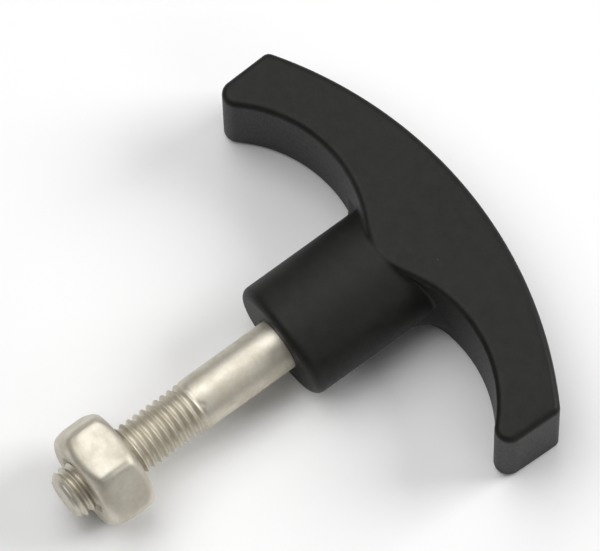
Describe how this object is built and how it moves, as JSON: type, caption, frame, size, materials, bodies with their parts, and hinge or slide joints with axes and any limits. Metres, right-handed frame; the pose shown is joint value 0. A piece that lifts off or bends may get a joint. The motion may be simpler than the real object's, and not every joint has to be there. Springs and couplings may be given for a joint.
{
  "type": "quick lock handle",
  "caption": "Bow-shaped moulded T handle with an oval hub, a steel stud with a plain shank and a thread standing out of the hub, and a hexagon nut near the stud's tip.",
  "frame": {"origin": "on the stud's axis, in the plane of the hub's end face, where the stud leaves the hub", "axes": "-Y along the stud towards its tip, X along the crossbar, +Z out of the crossbar's front, so that the handle lies on its back"},
  "size_m": [0.0864, 0.0909, 0.02],
  "materials": {
    "handle": "moulded black plastic with a fine matte grain",
    "stud": "bright zinc-plated steel",
    "nut": "bright zinc-plated steel"
  },
  "bodies": {
    "handle": {"handle": "handle", "stud": "stud"},
    "nut": {"nut": "nut"}
  },
  "joints": [
    {"name": "nut_turn", "type": "hinge", "parent": "handle", "child": "nut", "pos_m": [0, -0.0391, 0], "axis": [0, -1, 0], "continuous": true}
  ]
}
